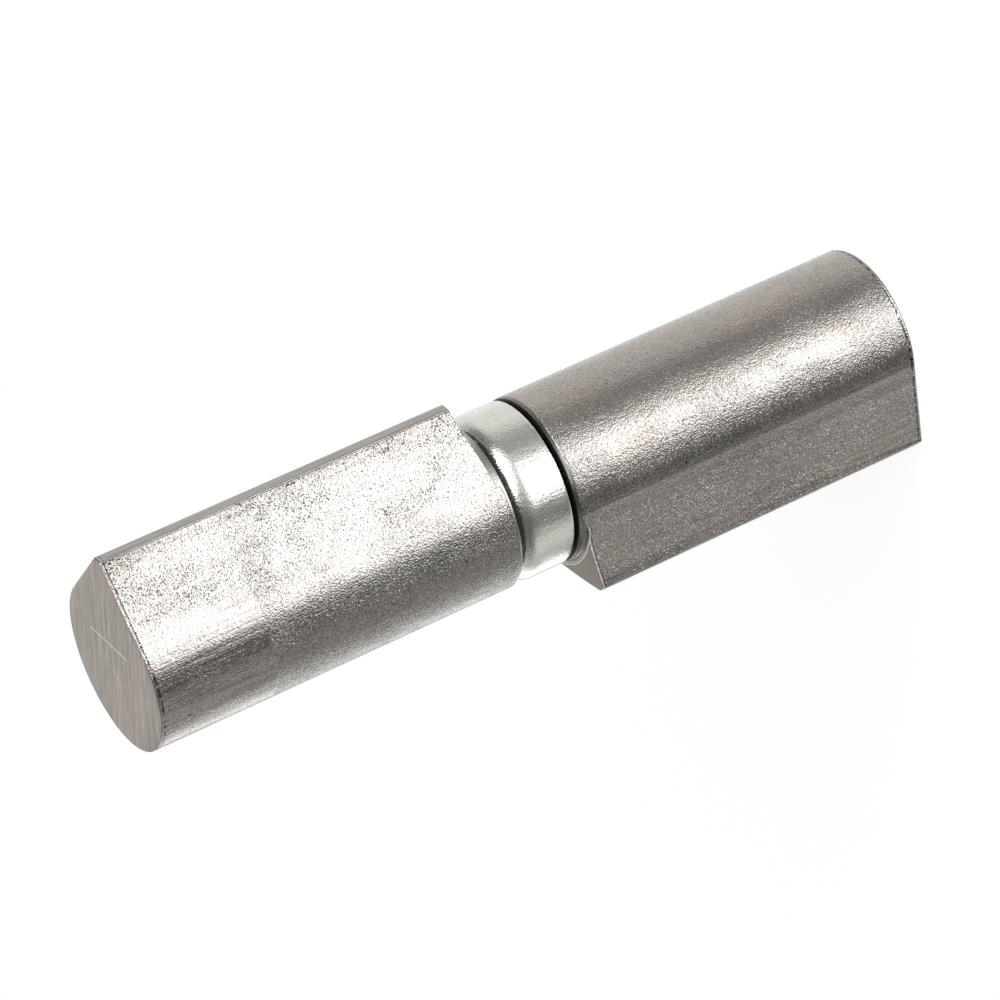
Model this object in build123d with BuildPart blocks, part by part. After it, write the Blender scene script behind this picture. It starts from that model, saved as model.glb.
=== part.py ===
from build123d import *
from math import acos, atan2, degrees, hypot, radians, sin, tan
import os

os.makedirs("parts", exist_ok=True)

# overall sizes
total_length = 80.0  # from one sawn end to the other
bearing_room = 6.0  # axial distance between the two leaves
rest_turn = 135.0  # degrees from the lower wing round to the upper wing

# drop profile, drawn with its nose along +X
barrel_radius = 8.0  # round back of the profile
nose_reach = 11.7  # from the pin axis to the flat strip along the nose
nose_half_width = 0.5
nose_edge_radius = 0.15

# turned inner ends: a low spigot stands on the barrel, and the wing is faced back behind
# it, with a round scoop between the two that leaves a sharp edge on the wing; distances
# back are from the spigot end
spigot_step = 0.15  # spigot radius below the barrel radius
scoop_width = 0.9
scoop_undercut = 0.1  # scoop below the sharp edge, midway
wing_crown = 0.04  # bulge of the turned wing face
lower_spigot_length = 0.7
lower_face_back = 0.95  # sharp edge
lower_nose_back = 1.25
upper_spigot_length = 0.45
upper_face_back = 1.15
upper_nose_back = 1.8

# hinge pin
pin_share = 0.5  # pin radius as a share of the barrel radius
pin_seat = 27.0  # length pressed into the lower leaf
pin_reach = 28.0  # length standing in the upper leaf
pin_foot_chamfer = 0.5
pin_lead_chamfer = 0.9
running_gap = 0.06  # radial gap of the upper leaf on the pin
bore_head_gap = 1.5  # free room above the pin
bore_mouth_chamfer = 0.4
drill_half_angle = 59.0

# thrust bearing
shroud_step = 0.05  # shroud radius below the barrel radius
shroud_wall = 0.6
shroud_shoulder = 2.2  # outer bend radius, toward the upper leaf
shroud_rim_chamfer = 0.12
skirt_gap = 0.5  # open gap between the skirt and the lower leaf
turning_gap = 0.6  # radial gap between the pin and the pieces turning round it
skirt_clearance = 0.4  # radial gap between the races and the skirt
race_chamfer = 0.25
ball_count = 8
ball_share = 0.3  # ball radius as a share of the room between pin and skirt
ball_play = 0.04  # between a ball and each wall of a groove
groove_depth = 0.5
groove_half_angle = 60.0
cage_thickness = 0.6
cage_clearance = 0.35  # cage ring to the pin and to the skirt
pocket_play = 0.08

# heights up the pin axis
leaf_length = (total_length - bearing_room) / 2
lower_end = leaf_length  # turned end of the lower leaf
upper_end = leaf_length + bearing_room  # turned end of the upper leaf
pin_foot = lower_end - pin_seat
pin_head = upper_end + pin_reach
bore_head = pin_head + bore_head_gap
skirt_rim = lower_end + skirt_gap
shroud_floor = upper_end - shroud_wall  # inner face of the shroud's flat end
ball_height = (lower_end + shroud_floor) / 2

# mating radii
scoop_inner = barrel_radius - spigot_step
scoop_outer = scoop_inner + scoop_width
scoop_middle = (scoop_inner + scoop_outer) / 2
pin_radius = barrel_radius * pin_share
bore_radius = pin_radius + running_gap
turning_bore = pin_radius + turning_gap
shroud_radius = barrel_radius - shroud_step
shroud_inside = shroud_radius - shroud_wall
shoulder_inside = shroud_shoulder - shroud_wall
race_radius = shroud_inside - skirt_clearance
ball_pitch_radius = (pin_radius + shroud_inside) / 2
ball_radius = (shroud_inside - pin_radius) * ball_share

# V grooves: their walls pass a ball at its radius and play
groove_point = (ball_radius + ball_play) / sin(radians(groove_half_angle))
race_face = groove_point - groove_depth  # from the ball centre
groove_half_width = groove_depth * tan(radians(groove_half_angle))
lower_race_face = ball_height - race_face
upper_race_face = ball_height + race_face

# the turning tools pass the nose, and cut its corners as well
tool_reach = nose_reach + nose_half_width
face_middle = (scoop_outer + tool_reach) / 2

# flanks leave the nose corners and run tangent to the round back
flank_turn = degrees(
    atan2(nose_half_width, nose_reach)
    + acos(barrel_radius / hypot(nose_reach, nose_half_width))
)
flank_foot = Vector(barrel_radius, 0).rotate(Axis.Z, flank_turn)

with BuildSketch() as drop_profile:
    with BuildLine():
        round_back = ThreePointArc(
            (flank_foot.X, flank_foot.Y),
            (-barrel_radius, 0),
            (flank_foot.X, -flank_foot.Y),
        )
        near_flank = Line(round_back @ 1, (nose_reach, -nose_half_width))
        nose_strip = Line(near_flank @ 1, (nose_reach, nose_half_width))
        Line(nose_strip @ 1, round_back @ 0)
    make_face()
    fillet(drop_profile.vertices().group_by(Axis.X)[-1], nose_edge_radius)


# lower leaf, pin seat drilled from its turned end
lower_edge = lower_end - lower_face_back
lower_nose = lower_end - lower_nose_back

with BuildPart() as lower_leaf:
    add(drop_profile.sketch)
    extrude(amount=leaf_length)
    with BuildSketch(Plane.XZ):
        with BuildLine():
            lower_scoop = ThreePointArc(
                (scoop_inner, lower_end - lower_spigot_length),
                (scoop_middle, lower_edge - scoop_undercut),
                (scoop_outer, lower_edge),
            )
            lower_facing = ThreePointArc(
                lower_scoop @ 1,
                (face_middle, (lower_edge + lower_nose) / 2 + wing_crown),
                (tool_reach, lower_nose),
            )
            Polyline(
                lower_facing @ 1,
                (tool_reach, lower_end),
                (scoop_inner, lower_end),
                lower_scoop @ 0,
            )
        make_face()
    revolve(axis=Axis.Z, mode=Mode.SUBTRACT)
    with BuildSketch(Plane.XZ):
        Polygon(
            (0, lower_end),
            (pin_radius, lower_end),
            (pin_radius, pin_foot),
            (0, pin_foot - pin_radius / tan(radians(drill_half_angle))),
            align=None,
        )
    revolve(axis=Axis.Z, mode=Mode.SUBTRACT)
lower_leaf.part.label = "lower_leaf"
export_step(lower_leaf.part, "parts/lower_leaf.step")


# upper leaf, turned to its resting angle, blind bore from its turned end
upper_edge = upper_end + upper_face_back
upper_nose = upper_end + upper_nose_back

with BuildPart() as upper_leaf:
    with BuildSketch(Plane.XY.offset(upper_end).rotated((0, 0, rest_turn))):
        add(drop_profile.sketch)
    extrude(amount=leaf_length)
    with BuildSketch(Plane.XZ):
        with BuildLine():
            upper_scoop = ThreePointArc(
                (scoop_inner, upper_end + upper_spigot_length),
                (scoop_middle, upper_edge + scoop_undercut),
                (scoop_outer, upper_edge),
            )
            upper_facing = ThreePointArc(
                upper_scoop @ 1,
                (face_middle, (upper_edge + upper_nose) / 2 - wing_crown),
                (tool_reach, upper_nose),
            )
            Polyline(
                upper_facing @ 1,
                (tool_reach, upper_end),
                (scoop_inner, upper_end),
                upper_scoop @ 0,
            )
        make_face()
    revolve(axis=Axis.Z, mode=Mode.SUBTRACT)
    with BuildSketch(Plane.XZ):
        Polygon(
            (0, upper_end),
            (bore_radius + bore_mouth_chamfer, upper_end),
            (bore_radius, upper_end + bore_mouth_chamfer),
            (bore_radius, bore_head),
            (0, bore_head + bore_radius / tan(radians(drill_half_angle))),
            align=None,
        )
    revolve(axis=Axis.Z, mode=Mode.SUBTRACT)
upper_leaf.part.label = "upper_leaf"
export_step(upper_leaf.part, "parts/upper_leaf.step")


# pin, with a long lead for finding the upper bore
with BuildPart() as hinge_pin:
    with BuildSketch(Plane.XY.offset(pin_foot)):
        Circle(pin_radius)
    extrude(amount=pin_head - pin_foot)
    chamfer(hinge_pin.edges().sort_by(Axis.Z)[0], pin_foot_chamfer)
    chamfer(hinge_pin.edges().sort_by(Axis.Z)[-1], pin_lead_chamfer)
hinge_pin.part.label = "hinge_pin"
export_step(hinge_pin.part, "parts/hinge_pin.step")


# drawn sheet cup over the bearing, closed toward the upper leaf
with BuildSketch() as cup_room:
    with Locations((turning_bore, skirt_rim)):
        Rectangle(
            shroud_inside - turning_bore,
            shroud_floor - skirt_rim,
            align=(Align.MIN, Align.MIN),
        )
    fillet(cup_room.vertices().group_by(Axis.Y)[-1].sort_by(Axis.X)[-1], shoulder_inside)

with BuildPart() as bearing_shroud:
    with BuildSketch(Plane.XZ) as cup:
        with Locations((turning_bore, skirt_rim)):
            Rectangle(
                shroud_radius - turning_bore,
                upper_end - skirt_rim,
                align=(Align.MIN, Align.MIN),
            )
        fillet(cup.vertices().group_by(Axis.Y)[-1].sort_by(Axis.X)[-1], shroud_shoulder)
        chamfer(cup.vertices().group_by(Axis.Y)[0].sort_by(Axis.X)[-1], shroud_rim_chamfer)
        add(cup_room.sketch, mode=Mode.SUBTRACT)
    revolve(axis=Axis.Z)
bearing_shroud.part.label = "bearing_shroud"
export_step(bearing_shroud.part, "parts/bearing_shroud.step")


# the groove both races share, pointing away from the ball
with BuildSketch() as groove:
    Polygon(
        (-groove_half_width, race_face),
        (groove_half_width, race_face),
        (0, groove_point),
        align=None,
    )


# upper race, its shoulder clear of the bend in the cup
with BuildPart() as upper_race:
    with BuildSketch(Plane.XZ) as upper_section:
        with Locations((turning_bore, upper_race_face)):
            Rectangle(
                race_radius - turning_bore,
                shroud_floor - upper_race_face,
                align=(Align.MIN, Align.MIN),
            )
        chamfer(upper_section.vertices().group_by(Axis.Y)[0], race_chamfer)
        chamfer(
            upper_section.vertices().group_by(Axis.Y)[-1].sort_by(Axis.X)[-1],
            shoulder_inside - skirt_clearance,
        )
        with Locations((ball_pitch_radius, ball_height)):
            add(groove.sketch, mode=Mode.SUBTRACT)
    revolve(axis=Axis.Z)
upper_race.part.label = "upper_race"
export_step(upper_race.part, "parts/upper_race.step")


# lower race, seated on the pin and on the lower leaf
with BuildPart() as lower_race:
    with BuildSketch(Plane.XZ) as lower_section:
        with Locations((pin_radius, lower_end)):
            Rectangle(
                race_radius - pin_radius,
                lower_race_face - lower_end,
                align=(Align.MIN, Align.MIN),
            )
        chamfer(lower_section.vertices(), race_chamfer)
        with Locations(Location((ball_pitch_radius, ball_height), 180)):
            add(groove.sketch, mode=Mode.SUBTRACT)
    revolve(axis=Axis.Z)
lower_race.part.label = "lower_race"
export_step(lower_race.part, "parts/lower_race.step")


# flat cage ring, one round pocket for each ball
with BuildPart() as ball_cage:
    with BuildSketch(Plane.XY.offset(ball_height)):
        Circle(shroud_inside - cage_clearance)
        Circle(pin_radius + cage_clearance, mode=Mode.SUBTRACT)
        with PolarLocations(ball_pitch_radius, ball_count):
            Circle(ball_radius + pocket_play, mode=Mode.SUBTRACT)
    extrude(amount=cage_thickness / 2, both=True)
ball_cage.part.label = "ball_cage"
export_step(ball_cage.part, "parts/ball_cage.step")


# balls, one in each pocket
for number in range(ball_count):
    ball_centre = Vector(ball_pitch_radius, 0, ball_height).rotate(
        Axis.Z, number * 360 / ball_count
    )
    with BuildPart() as ball:
        with Locations(ball_centre):
            Sphere(ball_radius)
    ball.part.label = f"ball_{number + 1:02d}"
    export_step(ball.part, f"parts/ball_{number + 1:02d}.step")
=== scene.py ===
"""Weld-on barrel hinge: two drawn steel leaves, a turned pin and a shrouded thrust bearing."""

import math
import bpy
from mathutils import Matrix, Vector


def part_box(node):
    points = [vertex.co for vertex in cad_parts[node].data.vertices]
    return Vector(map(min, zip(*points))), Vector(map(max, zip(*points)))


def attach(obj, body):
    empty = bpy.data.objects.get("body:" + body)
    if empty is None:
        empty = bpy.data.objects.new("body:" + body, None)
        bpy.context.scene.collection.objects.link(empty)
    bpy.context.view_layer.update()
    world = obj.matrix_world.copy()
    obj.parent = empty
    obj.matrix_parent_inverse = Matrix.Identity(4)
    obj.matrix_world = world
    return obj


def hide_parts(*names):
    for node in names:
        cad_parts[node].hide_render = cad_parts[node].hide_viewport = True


bl_info = {
    "name": "Weld-on barrel hinge",
    "version": (1, 0, 0),
    "blender": (4, 5, 0),
    "location": "3D View > Sidebar > Hinge",
    "description": "Finished surfaces, metals and a plain studio for a weld-on barrel hinge",
    "category": "Object",
}

import bmesh
import bpy
import numpy as np
from bpy.props import FloatProperty, FloatVectorProperty, IntProperty, PointerProperty
from mathutils import Vector

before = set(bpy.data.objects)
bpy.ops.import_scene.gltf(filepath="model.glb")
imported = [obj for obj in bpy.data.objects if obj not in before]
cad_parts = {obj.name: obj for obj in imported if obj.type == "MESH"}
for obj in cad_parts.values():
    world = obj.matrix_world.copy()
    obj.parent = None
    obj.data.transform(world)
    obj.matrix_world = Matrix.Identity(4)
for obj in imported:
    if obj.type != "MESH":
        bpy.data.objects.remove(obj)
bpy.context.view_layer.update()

MM = 0.001
WELD = 1e-7  # metres within which doubled points are merged
LOWER_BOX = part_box("lower_leaf")
UPPER_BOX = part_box("upper_leaf")
PIN_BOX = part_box("hinge_pin")
SHROUD_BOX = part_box("bearing_shroud")

# ---------------------------------------------------------------- settings


def length(name, text, value, least=0.0):
    """A length property in metres."""
    return FloatProperty(
        name=name,
        description=text,
        default=value,
        min=least,
        precision=5,
        subtype="DISTANCE",
        unit="LENGTH",
    )


def colour(name, text, value):
    """A linear colour property."""
    return FloatVectorProperty(
        name=name, description=text, default=value, size=3, min=0.0, max=1.0, subtype="COLOR"
    )


class LeafSizes(bpy.types.PropertyGroup):
    """Sizes that both leaves share."""

    barrel_radius: length("Barrel radius", "Radius of the round back", LOWER_BOX[1].y)
    nose_reach: length("Nose reach", "Pin axis to the flat strip on the nose", LOWER_BOX[1].x)
    nose_half_width: length("Nose half width", "Half the width of the flat strip", 0.5 * MM)
    nose_edge_radius: length("Nose edge radius", "Rounding beside the strip", 0.15 * MM)
    spigot_step: length("Spigot step", "How far the spigot stands inside the barrel", 0.03 * MM)
    sawn_edge: length("Sawn edge", "Broken edge round the sawn end", 0.07 * MM)
    burr: length("Burr", "Unevenness of the turned edges", 0.03 * MM)


class LowerSizes(bpy.types.PropertyGroup):
    """Turned end of the lower leaf, which has a hollow scoop inside the wing face."""

    spigot: length("Spigot length", "Foot of the spigot behind its end", 0.3 * MM)
    scoop_width: length("Scoop width", "Radial width of the turned scoop", 0.51 * MM)
    scoop_hollow: length("Scoop hollow", "Scoop below its chord, midway", 0.33 * MM)
    face_back: length("Face back", "Sharp edge behind the spigot end", 0.72 * MM)
    nose_back: length("Nose back", "Nose behind the spigot end", 1.70 * MM)
    crown: length("Crown", "Bulge of the wing face, midway", 0.02 * MM, -MM)
    bevel: length("Bevel", "Rolled edge round the wing face", 0.13 * MM)
    end_edge: length("End edge", "Broken edge on the spigot", 0.08 * MM)


class UpperSizes(bpy.types.PropertyGroup):
    """Turned end and bore of the upper leaf, whose scoop is no more than a steep step."""

    spigot: length("Spigot length", "Foot of the spigot behind its end", 0.25 * MM)
    scoop_width: length("Scoop width", "Radial width of the turned step", 0.06 * MM)
    scoop_hollow: length("Scoop hollow", "Step below its chord, midway", 0.0)
    face_back: length("Face back", "Sharp edge behind the spigot end", 0.72 * MM)
    nose_back: length("Nose back", "Nose behind the spigot end", 1.85 * MM)
    crown: length("Crown", "Bulge of the wing face, midway", -0.18 * MM, -MM)
    bevel: length("Bevel", "Rolled edge round the wing face", 0.06 * MM)
    end_edge: length("End edge", "Broken edge on the spigot", 0.08 * MM)
    turn: FloatProperty(
        name="Resting turn",
        description="Turn of this leaf's nose from the lower one",
        default=math.radians(135.0),
        subtype="ANGLE",
        unit="ROTATION",
    )
    running_gap: length("Running gap", "Radial gap on the pin", 0.06 * MM)
    mouth: length("Bore mouth", "Chamfer of the bore's mouth", 0.4 * MM)
    head_room: length("Head room", "Free room over the pin", 1.5 * MM)


class BearingSizes(bpy.types.PropertyGroup):
    """Sizes of the pin and of the drawn cup."""

    pin_lead: length("Pin lead", "Chamfer on the pin's upper end", 0.9 * MM)
    pin_round: length("Pin rounding", "Rounding where the lead meets the shank", 0.3 * MM)
    pin_edge: length("Pin edge", "Broken edge on the lead's narrow end", 0.06 * MM)
    pin_foot: length("Pin foot", "Chamfer on the pin's lower end", 0.5 * MM)
    wall: length("Cup wall", "Sheet thickness of the cup", 0.6 * MM)
    shoulder: length("Cup shoulder", "Outer bend radius of the cup", 2.2 * MM)
    rim: length("Cup rim", "Chamfer of the cup's rim", 0.12 * MM)
    rim_edge: length("Rim edge", "Broken edge inside the cup's rim", 0.04 * MM)
    hole_edge: length("Hole edge", "Broken edges of the cup's hole", 0.05 * MM)
    hole_gap: length("Hole gap", "Radial gap round the pin", 0.6 * MM)


class Metals(bpy.types.PropertyGroup):
    """Colours of the metals, linear."""

    steel: colour("Leaf steel", "Bare drawn steel", (0.450, 0.434, 0.417))
    steel_brown: colour("Leaf tarnish", "Warm patches on the steel", (0.432, 0.384, 0.354))
    spigot: colour("Polished spigot", "Step that the tool left bright", (0.70, 0.68, 0.65))
    # painted shade: near-black colour for the shade in the seam at the spigot's edge
    seam_shade: colour("Dark seat", "Dirt in the seam, on the spigot's edge", (0.075, 0.070, 0.062))
    # painted highlight: near-white colour for the light caught on the scoop's sharp edge
    scoop_lip_highlight: colour("Scoop lip", "Bright sharp edge of the scoop", (0.88, 0.86, 0.82))
    # painted highlight: near-white colour for the light caught on the wing's rolled edge
    wing_edge_highlight: colour("Wing edge", "Bright rolled edge of the wing", (0.86, 0.84, 0.80))
    zinc: colour("Cup zinc", "Bright zinc on the cup", (0.775, 0.785, 0.750))
    pin: colour("Pin steel", "Ground steel of the pin", (0.58, 0.57, 0.55))
    race: colour("Race steel", "Hardened race steel", (0.50, 0.50, 0.50))
    brass: colour("Cage brass", "Stamped brass of the cage", (0.72, 0.53, 0.26))
    ball: colour("Ball steel", "Polished ball steel", (0.72, 0.72, 0.73))


class Studio(bpy.types.PropertyGroup):
    """Camera, lamp and floor."""

    lens: FloatProperty(
        name="Lens",
        description="Focal length on a 36 mm sensor",
        default=176.23,
        subtype="DISTANCE_CAMERA",
    )
    camera_place: FloatVectorProperty(
        name="Camera place",
        description="Where the camera stands",
        default=(34.88 * MM, 403.13 * MM, 211.60 * MM),
        subtype="TRANSLATION",
    )
    camera_turn: FloatVectorProperty(
        name="Camera turn",
        description="The camera's turns about X, Y and Z, in that order",
        default=[math.radians(degrees) for degrees in (-44.201, 57.097, 35.929)],
        subtype="EULER",
    )
    floor_radius: length("Floor radius", "Radius of the pale floor", 1.2)
    floor_shade: FloatProperty(
        name="Floor shade",
        description="How much of the floor's own shading shows",
        default=0.09,
        min=0.0,
        max=1.0,
    )
    lamp_place: FloatVectorProperty(
        name="Lamp place",
        description="Where the lamp hangs",
        default=(-0.12, 0.36, 0.50),
        subtype="TRANSLATION",
    )
    lamp_aim: length("Lamp aim", "Height on the pin axis that the lamp points at", 0.04)
    lamp_size: length("Lamp size", "Width of the lamp's round face", 0.36)
    lamp_power: FloatProperty(
        name="Lamp power",
        description="Power of the lamp",
        default=2.2,
        min=0.0,
        unit="POWER",
    )
    seed: IntProperty(name="Seed", description="Seed of the small unevenness", default=7)


class HingeSettings(bpy.types.PropertyGroup):
    """Everything that a user would change."""

    leaf: PointerProperty(type=LeafSizes)
    lower: PointerProperty(type=LowerSizes)
    upper: PointerProperty(type=UpperSizes)
    bearing: PointerProperty(type=BearingSizes)
    metals: PointerProperty(type=Metals)
    studio: PointerProperty(type=Studio)


# ---------------------------------------------------------------- surfaces


def skin(name, rows, flip=False, sharp=math.radians(28)):
    """A closed surface through rows of points, each row a closed ring and the next joined to it.

    Point (i, j) joins (i, j + 1), (i + 1, j + 1) and (i + 1, j); a row of one point is a pole.
    """
    sizes = [len(row) for row in rows]
    starts = np.concatenate([[0], np.cumsum(sizes)])
    faces = []
    for k in range(len(rows) - 1):
        a, b = starts[k], starts[k + 1]
        n = max(sizes[k], sizes[k + 1])
        j = np.arange(n)
        j2 = (j + 1) % n
        if sizes[k] == 1:
            quad = np.stack([np.full(n, a), b + j2, b + j], 1)
        elif sizes[k + 1] == 1:
            quad = np.stack([a + j, a + j2, np.full(n, b)], 1)
        else:
            quad = np.stack([a + j, a + j2, b + j2, b + j], 1)
        if flip:
            quad = quad[:, ::-1]
        faces.extend(quad.tolist())
    mesh = bpy.data.meshes.new(name)
    mesh.from_pydata(np.concatenate(rows).tolist(), [], faces)
    worked = bmesh.new()
    worked.from_mesh(mesh)
    bmesh.ops.remove_doubles(worked, verts=worked.verts, dist=WELD)
    bmesh.ops.recalc_face_normals(worked, faces=worked.faces)
    worked.to_mesh(mesh)
    worked.free()
    mesh.polygons.foreach_set("use_smooth", np.ones(len(mesh.polygons), bool))
    mesh.set_sharp_from_angle(angle=sharp)
    piece = bpy.data.objects.new(name, mesh)
    bpy.context.scene.collection.objects.link(piece)
    return piece


def ripple(angle, seed, coarse=5, fine=60):
    """Unevenness round a ring, from -1 to 1: a sum of sine waves, a whole number of each to the
    ring, whose phases come from the seed and whose heights fall as that number grows."""
    draw = np.random.default_rng(seed)
    total = np.zeros_like(angle)
    for wave in range(coarse, fine):
        total += np.sin(wave * angle + draw.uniform(0, 2 * np.pi)) / wave**0.5
    return total / np.abs(total).max()


def drop_outline(sizes, back=168, flank=44, strip=8, rounding=7):
    """Points round the drop outline, nose along +X: a circular arc over the back, a straight
    flank tangent to it on each side, and a flat strip whose two corners are rounded."""
    r, e = sizes.barrel_radius, sizes.nose_edge_radius
    reach, half = sizes.nose_reach, sizes.nose_half_width
    turn = math.atan2(half, reach) + math.acos(r / math.hypot(reach, half))
    centre = np.array([reach - e, (r - e - math.cos(turn) * (reach - e)) / math.sin(turn)])
    arc = np.linspace(turn, 2 * np.pi - turn, back, endpoint=False)
    round_back = r * np.stack([np.cos(arc), np.sin(arc)], 1)
    corner = np.linspace(turn, 0, rounding)
    left = centre + e * np.stack([np.cos(corner), np.sin(corner)], 1)
    right = left * [1, -1]
    foot = r * np.array([math.cos(turn), -math.sin(turn)])
    share = np.linspace(0, 1, flank, endpoint=False)[:, None]
    near = foot + (right[0] - foot) * share
    across = right[-1] + (left[-1] - right[-1]) * np.linspace(0, 1, strip)[1:-1, None]
    far = left[0] + (foot * [1, -1] - left[0]) * share[1:]
    return np.concatenate([round_back, near, right, across, left[::-1], far])


def parabola(left, middle, right):
    """Coefficients of the parabola through three (radius, height) points."""
    return np.polyfit(*np.transpose([left, middle, right]), 2)


def tool_reach(sizes):
    """Radius that the turning tool sweeps, just past the nose."""
    return sizes.nose_reach + sizes.nose_half_width


def turned_end(sizes, end):
    """The turned end in section: the height is one parabola of the radius over the scoop and
    another over the wing face, and the two meet at a sharp edge. Gives the radii of the spigot
    and of the sharp edge, the height of the spigot's foot, and both parabolas."""
    inner = sizes.barrel_radius - sizes.spigot_step
    outer = inner + end["scoop_width"]
    tool = tool_reach(sizes)
    edge, nose = end["length"] - end["face_back"], end["length"] - end["nose_back"]
    foot = end["length"] - end["spigot"]
    face_middle = ((outer + tool) / 2, (edge + nose) / 2 + end["crown"])
    scoop_middle = ((inner + outer) / 2, (foot + edge) / 2 - end["scoop_hollow"])
    face = parabola((outer, edge), face_middle, (tool, nose))
    scoop = parabola((inner, foot), scoop_middle, (outer, edge))
    return inner, outer, foot, face, scoop


DRILL_HALF_ANGLE = math.radians(59)


def drilled(radius, depth):
    """Foot of a drilled hole, as (radius, height) points: its wall's end and the drill's point."""
    return [(radius, depth), (0, depth - radius / math.tan(DRILL_HALF_ANGLE))]


SCOOP_LIP = 0.03 * MM  # broken edge between the side and the scoop, where there is no wing
BREAK = 0.3  # the middle of a broken edge stands back by this share of the edge
SAWN_RINGS = (0.15, 0.35, 0.55, 0.75, 0.9)  # from the middle, as shares of the outline
END_RINGS = (0.8, 0.5, 0.2)  # from the bore, as shares of the way to the spigot
# rings on each stretch of a leaf, its first one included
SAWN_EDGE_STEPS, SIDE_STEPS, FACE_STEPS, SPIGOT_STEPS = 5, 96, 12, 6


def leaf_rows(sizes, end, bore, seed):
    """Rings over one leaf, from the sawn end's middle to the bottom of its bore, in its own
    frame: nose along +X, sawn end at height 0, turned end at height end["length"].

    At each angle round the axis the line runs out over the sawn face, round a broken edge, up
    the side, in over the turned wing face and the scoop, up the spigot, in over the end face
    and down the bore. The side is the drop outline; all the turned faces depend on the distance
    from the axis alone, as a lathe leaves them.
    """
    outline = drop_outline(sizes)
    angle = np.arctan2(outline[:, 1], outline[:, 0])
    reach = np.hypot(outline[:, 0], outline[:, 1])
    unit = outline / reach[:, None]
    inner, outer, foot, face, scoop = turned_end(sizes, end)
    top = end["length"]
    uneven = ripple(angle, seed) * sizes.burr
    coarse = ripple(angle, seed + 1, 2, 9)

    def ring(radius, height):
        """A ring whose radius and height are each one number, or one for every point."""
        radius = np.broadcast_to(radius, reach.shape)
        height = np.broadcast_to(height, reach.shape)
        return np.column_stack([unit * radius[:, None], height])

    sawn_edge = sizes.sawn_edge * (1 + 0.5 * coarse)
    rows = [np.array([[0.0, 0.0, 0.0]])]
    rows += [ring(reach * share, 0.0) for share in SAWN_RINGS]
    for t in np.linspace(0, np.pi / 2, SAWN_EDGE_STEPS):
        rows.append(ring(reach - sawn_edge * (1 - math.sin(t)), sawn_edge * (1 - math.cos(t))))
    wing = reach > outer
    lip = np.where(wing, end["bevel"], SCOOP_LIP)
    side_top = np.where(wing, np.polyval(face, reach), np.polyval(scoop, reach))
    for t in np.linspace(0, 1, SIDE_STEPS)[1:]:
        rows.append(ring(reach, sawn_edge + (side_top - lip - sawn_edge) * t))
    rows.append(ring(reach - BREAK * lip, side_top - BREAK * lip))
    start = np.where(wing, np.maximum(reach - lip, outer), reach - lip)
    for t in np.linspace(0, 1, FACE_STEPS):
        radius = np.where(wing, start + (outer - start) * t, start)
        height = np.where(wing, np.polyval(face, radius), np.polyval(scoop, radius))
        rows.append(ring(radius, height))
    nicks = np.minimum(uneven, 0) * wing
    rows[-1] = rows[-1] + np.column_stack([0 * angle, 0 * angle, nicks])
    start = np.minimum(start, outer)
    for t in np.linspace(0, 1, FACE_STEPS)[1:]:
        radius = start + (inner - start) * t
        rows.append(ring(radius, np.polyval(scoop, radius)))
    end_edge = end["end_edge"] * (1 + 0.4 * coarse)
    for t in np.linspace(0, 1, SPIGOT_STEPS)[1:]:
        rows.append(ring(inner, foot + (top - end_edge - foot) * t))
    rows.append(ring(inner - BREAK * end_edge, top - BREAK * end_edge))
    rows.append(ring(inner - end_edge, top))
    for share in END_RINGS:
        rows.append(ring(bore[0][0] + (inner - bore[0][0]) * share, top))
    for radius, height in bore[:-1]:
        rows.append(ring(radius, height))
    rows.append(np.array([[0.0, 0.0, bore[-1][1]]]))
    return rows


def placed(rows, turn=0.0, base=0.0, sign=1.0):
    """The same rows turned about the pin axis, and set up from base, or hung down from it."""
    c, s = math.cos(turn), math.sin(turn)
    out = []
    for row in rows:
        x, y, z = row[:, 0], row[:, 1], row[:, 2]
        out.append(np.column_stack([c * x - s * y, s * x + c * y, base + sign * z]))
    return out


def turned(profile, count=192):
    """Rings of a body turned about the pin axis: each (radius, height) becomes a circle of that
    radius at that height, and a radius of 0 becomes a pole."""
    angle = np.linspace(0, 2 * np.pi, count, endpoint=False)
    rows = []
    for radius, height in profile:
        if radius == 0:
            rows.append(np.array([[0.0, 0.0, height]]))
        else:
            x, y = radius * np.cos(angle), radius * np.sin(angle)
            rows.append(np.column_stack([x, y, 0 * angle + height]))
    return rows


def bend(centre, radius, first, last, steps):
    """(radius, height) points on a circular bend from the first angle to the last, in degrees."""
    return [
        (centre[0] + radius * math.cos(t), centre[1] + radius * math.sin(t))
        for t in np.radians(np.linspace(first, last, steps))
    ]


def line(a, b, steps):
    """(radius, height) points evenly along a straight line, without its first."""
    return [
        (a[0] + (b[0] - a[0]) * t, a[1] + (b[1] - a[1]) * t)
        for t in np.linspace(0, 1, steps + 1)[1:]
    ]


# ---------------------------------------------------------------- metals


MIX_FIRST, MIX_SECOND, MIX_RESULT = 6, 7, 2  # sockets of a Mix node that mixes colours


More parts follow.
